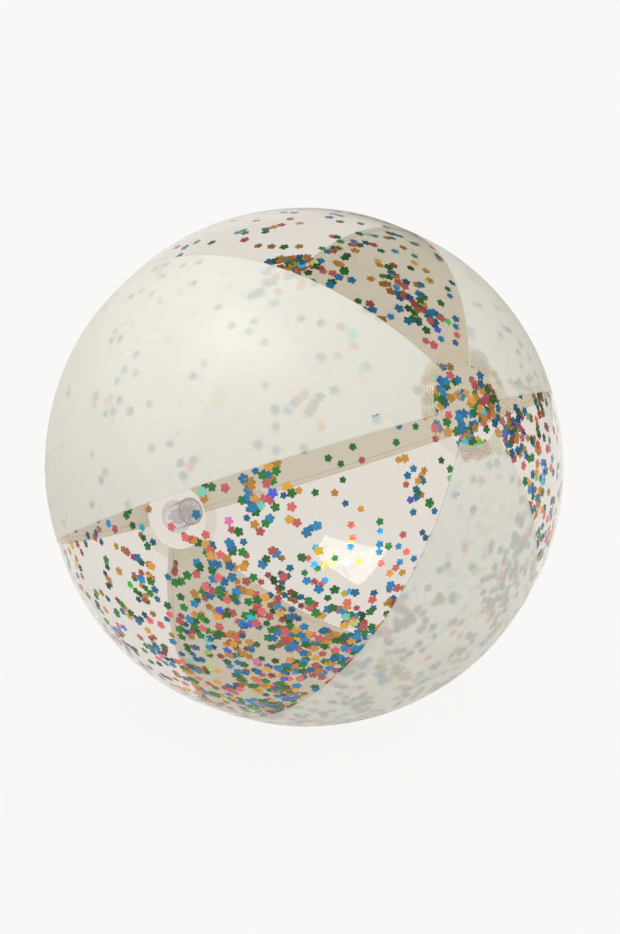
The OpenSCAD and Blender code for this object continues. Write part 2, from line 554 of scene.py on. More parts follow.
def mirror_share(tree, straight, grazing=1.0):
    """How much a film mirrors, from straight on to edge on, alike from both sides."""
    facing = node(tree, "ShaderNodeLayerWeight", [("Blend", 0.5)]).outputs["Facing"]
    steep = maths(tree, "POWER", facing, 5.0)
    return ramp(tree, steep, 0.0, 1.0, straight, grazing)


def lap_edge(tree, lap):
    """Share of the thin line along the edge of a welded lap."""
    return ramp(tree, kept_value(tree, "past_seam"), 0.36 * lap, 0.44 * lap)


def milky_film(look, shape):
    """Milky vinyl from outside: satin, cloudy, and glowing a little with the light inside the ball."""
    material, tree, out = new_material("milky_film")
    line = lap_edge(tree, shape.lap)
    cloud = ramp(tree, mottle(tree, 14.0), 0.3, 0.7)
    skin = blended(tree, cloud, rgba(0.985 * c for c in look.cream), rgba(look.cream))
    skin = blended(tree, maths(tree, "MULTIPLY", line, 0.6), skin, rgba(look.weld_line))
    bump = grain(tree, 0.06, 0.2 * MM, mottle(tree, 900.0, 2.0))
    surface = plastic(tree, skin, 0.5, 1.45, ("Normal", bump))
    glow = node(tree, "ShaderNodeBsdfTranslucent", [("Color", rgba(look.cream_glow))]).outputs[0]
    body = mixed(tree, look.glow_share, surface, glow)
    film = mixed(tree, 1.0 - look.cream_open, see_through(tree), body)
    tree.links.new(mixed(tree, mirror_share(tree, 0.01, 0.1), film, gloss(tree, 0.3)), out.inputs[0])
    return material


def milky_inside_painted_shade(look):
    """Inner face of the milky vinyl, painted a warm tan that stands in for the shade and the warm bounced
    light inside the ball.
    """
    material, tree, out = new_material("milky_inside_painted_shade")
    cloud = ramp(tree, mottle(tree, 9.0), 0.3, 0.7, look.inside_share - 0.05, look.inside_share + 0.05)
    # Painted shade: a warm tan matt colour on the inner face in place of shade and bounced light.
    painted_tan_shade = matt(tree, look.cream_inside_painted_shade, 0.3)
    tree.links.new(mixed(tree, cloud, see_through(tree), painted_tan_shade), out.inputs[0])
    return material


def clear_film(look, shape):
    """Transparent vinyl: a faint warm haze, crisp mirror gloss and slightly hazier laps."""
    material, tree, out = new_material("clear_film")
    line = lap_edge(tree, shape.lap)
    cloud = ramp(tree, mottle(tree, 11.0), 0.3, 0.7, 0.7, 1.3)
    haze = maths(tree, "MULTIPLY", cloud, look.haze)
    haze = maths(tree, "MAXIMUM", haze, maths(tree, "MULTIPLY", line, 0.3))
    skin = blended(tree, line, rgba(look.clear_haze), rgba(look.weld_line))
    surface = plastic(tree, skin, 0.3, 1.5)
    in_lap = ramp(tree, kept_value(tree, "past_seam"), -0.55 * shape.lap, -0.45 * shape.lap)
    # Partly painted shade: what is seen through the clear film is dimmed by its own tint and by painted
    # shade.
    tint = blended(tree, in_lap, rgba(look.clear_tint_and_shade), rgba(WHITE))
    film = mixed(tree, haze, see_through(tree, tint), surface)
    tree.links.new(mixed(tree, mirror_share(tree, 0.02, 0.8), film, gloss(tree, 0.03)), out.inputs[0])
    return material


def clear_inside(look):
    """Inner face of the transparent vinyl: nearly nothing but a breath of haze."""
    material, tree, out = new_material("clear_inside")
    haze = matt(tree, look.clear_haze, 0.0)
    tree.links.new(mixed(tree, look.inner_haze, see_through(tree), haze), out.inputs[0])
    return material


def cap_film(look):
    """Cap film: clear in the middle, beige and half solid where the weld ring presses it to the gores."""
    material, tree, out = new_material("cap_film")
    ring = kept_value(tree, "weld_ring")
    rib = kept_value(tree, "weld_rib")
    haze = ramp(tree, ring, 0.0, 1.0, look.haze, look.weld_haze)
    haze = maths(tree, "ADD", haze, maths(tree, "MULTIPLY", rib, look.rib_haze))
    tone = blended(tree, rib, rgba(look.weld), rgba(0.62 * c for c in look.weld))
    skin = blended(tree, ring, rgba(look.clear_haze), tone)
    glow = node(tree, "ShaderNodeBsdfTranslucent", [("Color", skin)]).outputs[0]
    surface = mixed(tree, 0.45, plastic(tree, skin, 0.3, 1.5), glow)
    # The cap's clear middle takes the same tint, which is partly painted shade.
    tint = blended(tree, ring, rgba(look.clear_tint_and_shade), rgba(look.weld_tint))
    film = mixed(tree, haze, see_through(tree, tint), surface)
    tree.links.new(mixed(tree, mirror_share(tree, 0.02, 0.7), film, gloss(tree, 0.08)), out.inputs[0])
    return material


def valve_vinyl(look, name, share_solid, edge_from=0.5):
    """Soft moulded vinyl, translucent, with its violet grey gathered at the edges."""
    material, tree, out = new_material(name)
    facing = node(tree, "ShaderNodeLayerWeight", [("Blend", 0.5)]).outputs["Facing"]
    edge = ramp(tree, facing, edge_from, 0.95)
    cloud = ramp(tree, mottle(tree, 160.0), 0.3, 0.7, 0.0, 0.05)
    skin = blended(tree, edge, rgba(look.vinyl), rgba(look.rim))
    bump = grain(tree, 0.15, 0.3 * MM, mottle(tree, 420.0))
    surface = plastic(tree, skin, 0.28, 1.5, ("Normal", bump))
    glow = node(tree, "ShaderNodeBsdfTranslucent", [("Color", rgba(look.vinyl))]).outputs[0]
    body = mixed(tree, 0.5, surface, glow)
    solid = ramp(tree, edge, 0.0, 1.0, share_solid, 0.5 + 0.4 * share_solid)
    solid = maths(tree, "ADD", solid, cloud, clamp=True)
    tree.links.new(mixed(tree, solid, see_through(tree, look.through), body), out.inputs[0])
    return material


def foil(name, tint):
    """Coloured metal foil, a little different from blossom to blossom."""
    material, tree, out = new_material(name)
    pick = kept_value(tree, "pick")
    deep = rgba(0.66 * c for c in tint)
    vivid = rgba(min(1.0, 1.25 * c) for c in tint)
    tone = blended(tree, ramp(tree, pick, 0.0, 1.0), deep, vivid)
    rough = ramp(tree, mottle(tree, 300.0, 2.0), 0.2, 0.8, 0.24, 0.42)
    tree.links.new(metal(tree, tone, 0.68, rough), out.inputs[0])
    return material


def iridescent_foil():
    """Foil that flashes a pure colour, another on each blossom."""
    material, tree, out = new_material("foil_iridescent")
    pick = kept_value(tree, "pick")
    flashes = node(tree, "ShaderNodeValToRGB", [("Fac", pick)])
    flashes.color_ramp.interpolation = "CONSTANT"
    tones = (
        (0.0, 0.75, 1.0),
        (0.05, 0.95, 0.10),
        (0.95, 0.72, 0.02),
        (0.95, 0.25, 0.62),
        (0.08, 0.14, 1.0),
        (0.25, 0.85, 0.72),
        (0.70, 0.92, 0.20),
        (0.80, 0.90, 0.86),
    )
    stops = flashes.color_ramp.elements
    while len(stops) < len(tones):
        stops.new(0.5)
    for i, tone in enumerate(tones):
        stops[i].position = i / len(tones)
        stops[i].color = rgba(tone)
    tree.links.new(metal(tree, flashes.outputs["Color"], 0.35, 0.22), out.inputs[0])
    return material


# ---------------------------------------------------------------- film


def gore_sheet(shape, name, index, depth, materials):
    """One gore from cap to cap, whose outside lies the given depth below the ball's surface."""
    tip = math.asin(shape.window_r / BALL_R)
    polar = np.linspace(tip, math.pi - tip, shape.rows + 1)[:, None]
    across = 0.5 - 0.5 * np.cos(np.pi * np.linspace(0, 1, shape.columns + 1))[None, :]
    across = 0.6 * across + 0.4 * np.linspace(0, 1, shape.columns + 1)[None, :]
    half_lap = 0.5 * shape.lap / (BALL_R * np.sin(polar))
    turn = shape.seam_turn + GORE_TURN * index - half_lap + (GORE_TURN + 2 * half_lap) * across
    polar = np.broadcast_to(polar, turn.shape)
    radius = film_radius(shape, polar, turn) - depth
    towards = outward(polar, turn)
    outer = towards * radius[..., None]
    inner = towards * (radius - shape.film)[..., None]
    return closed_sheet(name, outer, inner, materials, past_seam=past_seam(shape, index, polar, turn))


class BEACHBALL_OT_cream_gores(bpy.types.Operator):
    """Add the three milky gores of the ball"""

    bl_idname = "beachball.cream_gores"
    bl_label = "Cream gores"

    def execute(self, context):
        scene = context.scene
        materials = [milky_film(scene.ball_film_look, scene.ball_film), milky_inside_painted_shade(scene.ball_film_look)]
        for number, index in enumerate(CREAM_GORES, 1):
            piece = gore_sheet(scene.ball_film, f"film_cream_{number}", index, 0.0, materials)
            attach(piece, "ball")
            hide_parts(f"gore_cream_{number}")
        return {"FINISHED"}


class BEACHBALL_OT_clear_gores(bpy.types.Operator):
    """Add the three transparent gores, lapped under the milky ones"""

    bl_idname = "beachball.clear_gores"
    bl_label = "Clear gores"

    def execute(self, context):
        scene = context.scene
        shape = scene.ball_film
        materials = [clear_film(scene.ball_film_look, shape), clear_inside(scene.ball_film_look)]
        for number, index in enumerate(CLEAR_GORES, 1):
            piece = gore_sheet(shape, f"film_clear_{number}", index, 1.1 * shape.film, materials)
            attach(piece, "ball")
            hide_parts(f"gore_clear_{number}")
        return {"FINISHED"}


def cap_sheet(shape, cap, name, arc, at_valve_pole, materials):
    """An end cap over arc lengths from its pole, with weld ribs over the gore tips."""
    turn = np.linspace(0, 2 * np.pi, cap.segments, endpoint=False)[None, :]
    if at_valve_pole:
        arc = arc[::-1]
    polar = arc[:, None] / BALL_R
    if at_valve_pole:
        polar = np.pi - polar
    turn = np.broadcast_to(turn, (len(arc), cap.segments))
    polar = np.broadcast_to(polar, turn.shape)
    reach = CAP_R - shape.window_r
    along = (np.broadcast_to(arc[:, None], turn.shape) - shape.window_r) / reach
    ring = np.clip((along + 0.02) / 0.05, 0, 1)
    wave = np.clip(np.sin(2 * np.pi * (along * (cap.ribs + 0.5) - 0.2)), 0, 1) ** 0.7
    rib = wave * (along > 0) * (along < 0.96)
    base = film_radius(shape, polar, turn) + 0.1 * shape.film
    towards = outward(polar, turn)
    outer = towards * (base + shape.film + cap.rib_height * rib)[..., None]
    inner = towards * base[..., None]
    return closed_sheet(
        name, outer, inner, materials, wrap=True, closed_start=not at_valve_pole, weld_ring=ring, weld_rib=rib
    )


class BEACHBALL_OT_end_caps(bpy.types.Operator):
    """Add the plain end cap and the valve's end cap with their weld ribs"""

    bl_idname = "beachball.end_caps"
    bl_label = "End caps"

    def execute(self, context):
        scene = context.scene
        shape, cap = scene.ball_film, scene.ball_cap
        materials = [cap_film(scene.ball_film_look), clear_inside(scene.ball_film_look)]
        ribbed = np.linspace(shape.window_r - 0.6 * MM, CAP_R, 64)
        middle = np.linspace(0.3 * MM, ribbed[0], 16)[:-1]
        plain = cap_sheet(shape, cap, "cap_plain", np.concatenate([middle, ribbed]), False, materials)
        collar = np.linspace(cap.hole_r, ribbed[0], 12)[:-1]
        holed = cap_sheet(shape, cap, "cap_valve", np.concatenate([collar, ribbed]), True, materials)
        for piece, cad in ((plain, "end_cap_plain"), (holed, "end_cap_valve")):
            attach(piece, "ball")
            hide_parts(cad)
        return {"FINISHED"}


# ---------------------------------------------------------------- valve


def ripple(along, height, pitch):
    """Height of a wave that starts at its crest."""
    return height * math.cos(2 * math.pi * along / pitch)


def flange_outline(valve):
    """Welded ring that follows the inside of the cap, with two raised weld lines."""
    inner, outer = valve.well_r / MM, valve.flange_r / MM
    gap, thick, line, line_pitch = 0.35, 0.8, 0.25, 2.5
    top = [(r, -gap - r * r / (2 * BALL_R / MM)) for r in np.linspace(outer, inner, 8)]
    under = []
    for r in np.linspace(inner, outer, 40):
        height = -gap - r * r / (2 * BALL_R / MM)
        under.append((r, height - thick - ripple(r - inner, line, line_pitch)))
    return under + top


def skirt_outline(valve):
    """Soft wall of the well with shallow pleats."""
    outer, thick, depth = valve.well_r / MM, valve.skirt / MM, valve.depth / MM
    pleat, pleat_pitch = 0.12, 6.0
    middle = outer - pleat - 0.02
    wall = [(middle + ripple(z, pleat, pleat_pitch), z) for z in np.linspace(-0.6, -depth, 40)]
    return [(r - thick, z) for r, z in wall] + wall[::-1]


def bead_outline(valve):
    """Bead round the inner end of the well."""
    middle, level = (valve.well_r - 0.5 * valve.skirt) / MM + 0.1, -valve.depth / MM - 0.4
    bead_r = 0.8
    turns = np.linspace(0, 2 * math.pi, 20, endpoint=False)
    return [(middle + bead_r * math.cos(a), level + bead_r * math.sin(a)) for a in turns]


def stem_outline(valve):
    """Base disc, fillet, tube and lip, with the stepped bore."""
    well, stem, depth = valve.well_r / MM, valve.stem_r / MM, valve.depth / MM
    bore, mouth, top = valve.bore_r / MM, valve.mouth_r / MM, -valve.mouth / MM
    base, ridge, ridge_pitch = well - 0.9, 0.12, 1.6
    across = np.linspace(bore + 0.2, base - 0.6, 40)
    ridges = [(r, -depth - ridge + ripple(r - bore, ridge, ridge_pitch)) for r in across]
    return ridges + rounded(
        [
            (base, -depth),
            (base, -depth + 1.2),
            (stem + 1.5, -depth + 1.2),
            (stem + 0.3, -depth + 1.8),
            (stem, -depth + 3.2),
            (stem, top - 1.5),
            (stem + 1.4, top - 1.5),
            (stem + 1.4, top),
            (mouth, top),
            (mouth, top - 6.0),
            (bore, top - 6.0),
            (bore, -depth),
        ],
        0.3,
    )


def flap_outline(valve):
    """Non-return flap: a thin disc with a raised ring and a small button in the middle."""
    reach, top = valve.bore_r / MM + 1.6, -valve.depth / MM - 0.12
    thick, ring, ring_pitch = 0.55, 0.12, 2.2
    under = []
    for r in np.linspace(PINHOLE_R, reach - 0.1, 28):
        raised = ripple(r, ring, ring_pitch) if r < reach - 0.4 else 0.0
        under.append((r, top - thick - raised))
    return under + [(reach, top - 0.4), (reach, top - 0.1), (reach - 0.1, top), (PINHOLE_R, top)]


def stopper_outline(valve):
    """Tapered plug under a head with a softened rim and a dimple."""
    mouth, top = valve.mouth_r / MM, -valve.mouth / MM + 0.1
    plug = mouth - 0.1
    return rounded(
        [
            (PINHOLE_R, top - 4.5),
            (plug - 0.9, top - 4.5),
            (plug, top),
            (7.0, top),
            (7.0, top + 1.4),
            (4.2, top + 1.4),
            (3.6, top + 1.1),
            (PINHOLE_R, top + 1.1),
        ],
        0.35,
    )


def pull_tab(valve, material):
    """Flat tab on the stopper's head, with a rounded end."""
    base = -valve.mouth / MM + 0.3
    half, reach, thick = 2.5, 9.8, 1.0
    round_r = 1.8
    rim = [(6.0, -half)]
    rim += [
        (reach - round_r + round_r * math.cos(a), -half + round_r + round_r * math.sin(a))
        for a in np.linspace(-0.5 * math.pi, 0, 6)
    ]
    rim += [(x, -y) for x, y in rim[::-1]]
    points = [at_valve((x, y, base + z)) for z in (0, thick) for x, y in rim]
    count = len(rim)
    faces = [tuple(reversed(range(count))), tuple(range(count, 2 * count))]
    faces += [(i, (i + 1) % count, (i + 1) % count + count, i + count) for i in range(count)]
    mesh = bpy.data.meshes.new("pull_tab")
    mesh.from_pydata(points, [], faces)
    mesh.materials.append(material)
    return object_from("pull_tab", mesh)


def strap_band(valve, material):
    """Strap from the stem's lip round to the stopper's head."""
    top = -valve.mouth / MM
    centre, bend, thick, half = -8.9, 1.2, 0.5, 2.0
    lip, head = -7.3, -7.05
    path = [(lip, -bend + 0.5 * thick), (centre + 0.4, -bend + 0.5 * thick)]
    path += [
        (centre + (bend - 0.5 * thick) * math.cos(a), (bend - 0.5 * thick) * math.sin(a))
        for a in np.linspace(-0.5 * math.pi, -1.5 * math.pi, 14)
    ]
    path += [(centre + 0.4, bend - 0.5 * thick), (head, bend - 0.5 * thick)]
    points, faces = [], []
    for i, (x, z) in enumerate(path):
        before, after = Vector(path[max(i - 1, 0)]), Vector(path[min(i + 1, len(path) - 1)])
        along = (after - before).normalized()
        out = Vector((-along.y, along.x)) * 0.5 * thick
        for side, y in ((1, -half), (1, half), (-1, half), (-1, -half)):
            points.append(at_valve((x + side * out.x, y, top + z + side * out.y)))
    for i in range(len(path) - 1):
        for j in range(4):
            a, b = 4 * i + j, 4 * i + (j + 1) % 4
            faces.append((a + 4, b + 4, b, a))
    faces += [(0, 1, 2, 3), tuple(len(points) - 1 - j for j in range(4))]
    mesh = bpy.data.meshes.new("strap")
    mesh.from_pydata(points, [], faces)
    mesh.materials.append(material)
    return object_from("strap", mesh)


class BEACHBALL_OT_valve(bpy.types.Operator):
    """Add the push-in valve: flange, soft skirt, stem, flap, stopper and strap"""

    bl_idname = "beachball.valve"
    bl_label = "Valve"

    def execute(self, context):
        scene = context.scene
        valve = scene.ball_valve
        look = scene.ball_valve_look
        wall = valve_vinyl(look, "valve_wall", look.wall_share)
        base = valve_vinyl(look, "valve_base", look.base_share)
        bead = valve_vinyl(look, "valve_bead", look.bead_share, 0.0)
        plug = valve_vinyl(look, "valve_plug", look.plug_share)
        flange = turned("flange", flange_outline(valve), wall)
        skirt = turned("skirt", skirt_outline(valve), wall)
        skirt = joined("skirt", [skirt, turned("bead", bead_outline(valve), bead)])
        stem = turned("stem", stem_outline(valve), base)
        flap = turned("flap", flap_outline(valve), base, 64)
        stopper = turned("stopper", stopper_outline(valve), plug, 64)
        stopper = joined("stopper", [stopper, pull_tab(valve, plug)])
        strap = strap_band(valve, plug)
        for piece, body, cad in (
            (flange, "ball", "valve_flange"),
            (stem, "stem", "valve_stem"),
            (flap, "flap", "valve_flap"),
            (stopper, "stopper", "valve_stopper"),
        ):
            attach(piece, body)
            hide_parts(cad)
        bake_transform(skirt)
        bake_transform(strap)
        for piece, cad in ((skirt, "valve_skirt"), (strap, "stopper_strap")):
            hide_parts(cad)
        return {"FINISHED"}


# ---------------------------------------------------------------- confetti


def blossom_shape(mix):
    """A single five-petal blossom of foil, lying flat at the origin."""
    count = 30
    angles = np.linspace(0, 2 * np.pi, count, endpoint=False)
    reach = 0.5 * mix.width * (0.62 + 0.38 * np.sqrt(np.abs(np.cos(2.5 * angles))))
    rim = np.stack([reach * np.cos(angles), reach * np.sin(angles)], 1)
    points = [(x, y, z) for z in (-0.5 * mix.foil, 0.5 * mix.foil) for x, y in rim]
    faces = [tuple(reversed(range(count))), tuple(range(count, 2 * count))]
    faces += [(i, (i + 1) % count, (i + 1) % count + count, i + count) for i in range(count)]
    mesh = bpy.data.meshes.new("blossom")
    mesh.from_pydata(points, [], faces)
    piece = bpy.data.objects.new("blossom", mesh)
    bpy.context.scene.collection.objects.link(piece)
    return piece


def drift_density(mix, towards):
    """Blossoms on a square metre at each direction: a thin scatter, the settled ones and the drifts."""
    low = np.clip((-towards[..., 2] - 0.1) / 0.75, 0, 1)
    density = mix.base + mix.settled * low**1.5
    for azimuth, elevation, spread, amount in DRIFTS:
        centre = np.array(compass(math.radians(azimuth), math.radians(elevation)))
        off = np.degrees(np.arccos(np.clip(towards @ centre, -1, 1)))
        density = density + amount * np.exp(-((off / spread) ** 2))
    for azimuth, elevation, spread in BARE:
        centre = np.array(compass(math.radians(azimuth), math.radians(elevation)))
        off = np.degrees(np.arccos(np.clip(towards @ centre, -1, 1)))
        density = density * (1 - 0.93 * np.exp(-((off / spread) ** 2)))
    chance = np.random.default_rng(mix.seed)
    waves = chance.normal(0.0, 2 * math.pi * BALL_R / mix.clump, (24, 3))
    clumps = np.sin(towards @ waves.T + chance.uniform(0, 2 * math.pi, 24)).sum(-1) / math.sqrt(12)
    return density * np.exp(mix.clumping * clumps - 0.5 * mix.clumping**2)


def scatter_shell(shape, valve, mix):
    """Surface just inside the film, with the density of the confetti kept on its points."""
    polar = np.linspace(0.5 * MM / BALL_R, math.pi - (valve.well_r + 4.5 * MM) / BALL_R, 140)[:, None]
    turn = np.linspace(0, 2 * np.pi, 280, endpoint=False)[None, :]
    polar, turn = (np.array(a) for a in np.broadcast_arrays(polar, turn))
    towards = outward(polar, turn)
    in_window = np.minimum(polar, math.pi - polar) * BALL_R < shape.window_r
    milky = np.mod(turn - shape.seam_turn, 2 * GORE_TURN) < GORE_TURN
    one_film = milky & (from_seam(shape, polar, turn) > shape.lap)
    films = np.where(in_window, 0.0, np.where(one_film, 1.0, 2.2))
    depth = films * shape.film + 0.3 * MM
    points = towards * (film_radius(shape, polar, turn) - depth)[..., None]
    rows, columns = polar.shape
    r, c = np.meshgrid(np.arange(rows - 1), np.arange(columns), indexing="ij")
    a, b = (r * columns + c).ravel(), (r * columns + (c + 1) % columns).ravel()
    faces = np.stack([a, a + columns, b + columns, b], 1)
    mesh = bpy.data.meshes.new("scatter_shell")
    mesh.from_pydata(points.reshape(-1, 3).tolist(), [], faces.tolist())
    kept = mesh.attributes.new("drift", "FLOAT", "POINT")
    kept.data.foreach_set("value", drift_density(mix, towards).ravel().astype(np.float32))
    shell = bpy.data.objects.new("scatter_shell", mesh)
    bpy.context.scene.collection.objects.link(shell)
    return shell


def lot(tree, seed, low=0.0, high=1.0):
    """A number drawn for each point between two limits."""
    inputs = [(2, low), (3, high), ("Seed", seed)]
    return node(tree, "FunctionNodeRandomValue", inputs, data_type="FLOAT").outputs[1]


def stored(tree, geometry, name, value, kind, domain):
    """Geometry with a value kept on its points or instances."""
    inputs = [("Geometry", geometry), ("Name", name), ("Value", value)]
    made = node(tree, "GeometryNodeStoreNamedAttribute", inputs, data_type=kind, domain=domain)
    return made.outputs[0]


def read_back(tree, name, kind):
    """A value kept on the points."""
    made = node(tree, "GeometryNodeInputNamedAttribute", [("Name", name)], data_type=kind)
    return made.outputs["Attribute"]


def compared(tree, operation, first, second):
    """Whether two numbers compare as asked."""
    inputs = [(0, first), (1, second)]
    return node(tree, "FunctionNodeCompare", inputs, data_type="FLOAT", operation=operation).outputs[0]


def confetti_tree():
    """Geometry nodes that scatter blossoms over a surface and keep those of one colour."""
    tree = bpy.data.node_groups.new("Confetti", "GeometryNodeTree")
    face = tree.interface
    face.new_socket("Geometry", in_out="INPUT", socket_type="NodeSocketGeometry")
    for name, kind, default in (
        ("Blossom", "NodeSocketObject", None),
        ("Material", "NodeSocketMaterial", None),
        ("Spacing", "NodeSocketFloat", 3.6 * MM),
        ("Most", "NodeSocketFloat", 120000.0),
        ("Share From", "NodeSocketFloat", 0.0),
        ("Share To", "NodeSocketFloat", 1.0),
        ("Lean", "NodeSocketFloat", 0.05),
        ("Lift", "NodeSocketFloat", 0.4 * MM),
        ("Smallest", "NodeSocketFloat", 1.08),
        ("Largest", "NodeSocketFloat", 1.26),
        ("Seed", "NodeSocketInt", 7),
    ):
        socket = face.new_socket(name, in_out="INPUT", socket_type=kind)
        if default is not None:
            socket.default_value = default
    face.new_socket("Geometry", in_out="OUTPUT", socket_type="NodeSocketGeometry")
    source = tree.nodes.new("NodeGroupInput").outputs
    sink = tree.nodes.new("NodeGroupOutput")
    wanted = maths(tree, "DIVIDE", read_back(tree, "drift", "FLOAT"), source["Most"])
    points = node(
        tree,
        "GeometryNodeDistributePointsOnFaces",
        [
            ("Mesh", source["Geometry"]),
            ("Distance Min", source["Spacing"]),
            ("Density Max", source["Most"]),
            ("Density Factor", wanted),
            ("Seed", source["Seed"]),
        ],
        distribute_method="POISSON",
    )
    turned_to = stored(
        tree, points.outputs["Points"], "stand", points.outputs["Rotation"], "QUATERNION", "POINT"
    )
    ticket = lot(tree, 11)
    below = compared(tree, "LESS_THAN", ticket, source["Share From"])
    above = compared(tree, "GREATER_EQUAL", ticket, source["Share To"])
    others = node(tree, "FunctionNodeBooleanMath", [(0, below), (1, above)], operation="OR").outputs[0]
    kept = node(
        tree,
        "GeometryNodeDeleteGeometry",
        [("Geometry", turned_to), ("Selection", others)],
        domain="POINT",
    )
    lean, lean_low = source["Lean"], maths(tree, "MULTIPLY", source["Lean"], -1.0)
    low = node(tree, "ShaderNodeCombineXYZ", [(0, lean_low), (1, lean_low), (2, 0.0)]).outputs[0]
    high = node(tree, "ShaderNodeCombineXYZ", [(0, lean), (1, lean), (2, 2 * math.pi)]).outputs[0]
    swing = node(
        tree,
        "FunctionNodeRandomValue",
        [(0, low), (1, high), ("Seed", 23)],
        data_type="FLOAT_VECTOR",
    )
    swing = node(tree, "FunctionNodeEulerToRotation", [(0, swing.outputs[0])]).outputs[0]
    facing = node(
        tree,
        "FunctionNodeRotateRotation",
        [("Rotation", read_back(tree, "stand", "QUATERNION")), ("Rotate By", swing)],
        rotation_space="LOCAL",
    ).outputs[0]
    size = lot(tree, 31, source["Smallest"], source["Largest"])
    shape = node(
        tree, "GeometryNodeObjectInfo", [("Object", source["Blossom"]), ("As Instance", False)]
    ).outputs["Geometry"]
    cast = node(
        tree,
        "GeometryNodeInstanceOnPoints",
        [("Points", kept.outputs[0]), ("Instance", shape), ("Rotation", facing), ("Scale", size)],
    )
    rise = lot(tree, 43, 0.0, source["Lift"])
    inwards = node(tree, "ShaderNodeCombineXYZ", [(2, maths(tree, "MULTIPLY", rise, -1.0))]).outputs[0]
    lifted = node(
        tree,
        "GeometryNodeTranslateInstances",
        [("Instances", cast.outputs[0]), ("Translation", inwards), ("Local Space", True)],
    )
    marked = stored(tree, lifted.outputs[0], "pick", lot(tree, 59), "FLOAT", "INSTANCE")
    real = node(tree, "GeometryNodeRealizeInstances", [("Geometry", marked)])
    dressed = node(
        tree, "GeometryNodeSetMaterial", [("Geometry", real.outputs[0]), ("Material", source["Material"])]
    )
    tree.links.new(dressed.outputs[0], sink.inputs[0])
    return tree


def run_tree(name, source, tree, **values):
    """The plain mesh that a node tree makes of an object's mesh, as a new object."""
    holder = bpy.data.objects.new(name, source.data)
    bpy.context.scene.collection.objects.link(holder)
    modifier = holder.modifiers.new("nodes", "NODES")
    modifier.node_group = tree
    sockets = {item.name: item.identifier for item in tree.interface.items_tree if item.in_out == "INPUT"}
    for key, value in values.items():
        modifier[sockets[key.replace("_", " ").title()]] = value
    found = holder.evaluated_get(bpy.context.evaluated_depsgraph_get())
    mesh = bpy.data.meshes.new_from_object(found)
    holder.modifiers.clear()
    holder.data = mesh
    mesh.name = name
    return holder


class BEACHBALL_OT_confetti(bpy.types.Operator):
    """Scatter the foil blossoms over the inside of the film, one piece for each colour"""

    bl_idname = "beachball.confetti"
    bl_label = "Confetti"

    def execute(self, context):
        scene = context.scene
        mix = scene.ball_confetti
        shell = scatter_shell(scene.ball_film, scene.ball_valve, mix)
        blossom = blossom_shape(mix)
        tree = confetti_tree()
        start = 0.0
        for name, portion, material in (
            ("blue", 0.26, foil("foil_blue", mix.blue)),
            ("coral", 0.235, foil("foil_coral", mix.coral)),
            ("mustard", 0.2, foil("foil_mustard", mix.mustard)),
            ("green", 0.25, foil("foil_green", mix.green)),
            ("iridescent", 0.055, iridescent_foil()),
        ):
            piece = run_tree(
                f"blossoms_{name}",
                shell,
                tree,
                blossom=blossom,
                material=material,
                spacing=mix.spacing,
                share_from=start,
                share_to=start + portion,
                seed=mix.seed,
            )
            start += portion
            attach(piece, "ball")
            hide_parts(f"confetti_{name}")
            if not piece.data.polygons:
                raise RuntimeError(f"no {name} blossoms were scattered")
        bpy.data.objects.remove(shell)
        bpy.data.objects.remove(blossom)
        return {"FINISHED"}


# ---------------------------------------------------------------- stage


def shining(tree, tint, strength, kind="ShaderNodeEmission"):
    """Light of one colour, for a surface or for the world."""
    return node(tree, kind, [("Color", rgba(tint)), ("Strength", strength)]).outputs[0]


def along_axis(tree, place, axis):
    """How far a place lies along an axis."""
    made = node(tree, "ShaderNodeVectorMath", [(0, place), (1, axis)], operation="DOT_PRODUCT")
    return made.outputs["Value"]


def paper_floor(studio):
    """Pale seamless floor that the ball rests on."""
    material, tree, out = new_material("paper_floor")
    place = node(tree, "ShaderNodeTexCoord").outputs["Object"]
    flat = (1.0, 1.0, 0.0)
    level = node(tree, "ShaderNodeVectorMath", [(0, place), (1, flat)], operation="MULTIPLY").outputs[0]
    away = node(tree, "ShaderNodeVectorMath", [(0, level)], operation="LENGTH").outputs["Value"]
    near = ramp(tree, away, 0.12, 0.45, 0.06, 0.0)
    lit = matt(tree, studio.paper, 0.0)
    bounced = node(tree, "ShaderNodeLightPath").outputs["Is Diffuse Ray"]
    strength = ramp(tree, bounced, 0.0, 1.0, 1.0, studio.floor_bounce)
    even = shining(tree, studio.paper, strength)
    tree.links.new(mixed(tree, near, even, lit), out.inputs[0])
    mesh = bpy.data.meshes.new("floor")
    ring = [math.radians(a) for a in range(0, 360, 5)]
    rim = [(FLOOR_R * math.cos(a), FLOOR_R * math.sin(a), -BALL_R) for a in ring]
    mesh.from_pydata(rim, [], [list(range(len(rim)))])
    mesh.materials.append(material)
    floor = bpy.data.objects.new("floor", mesh)
    bpy.context.scene.collection.objects.link(floor)
    return floor


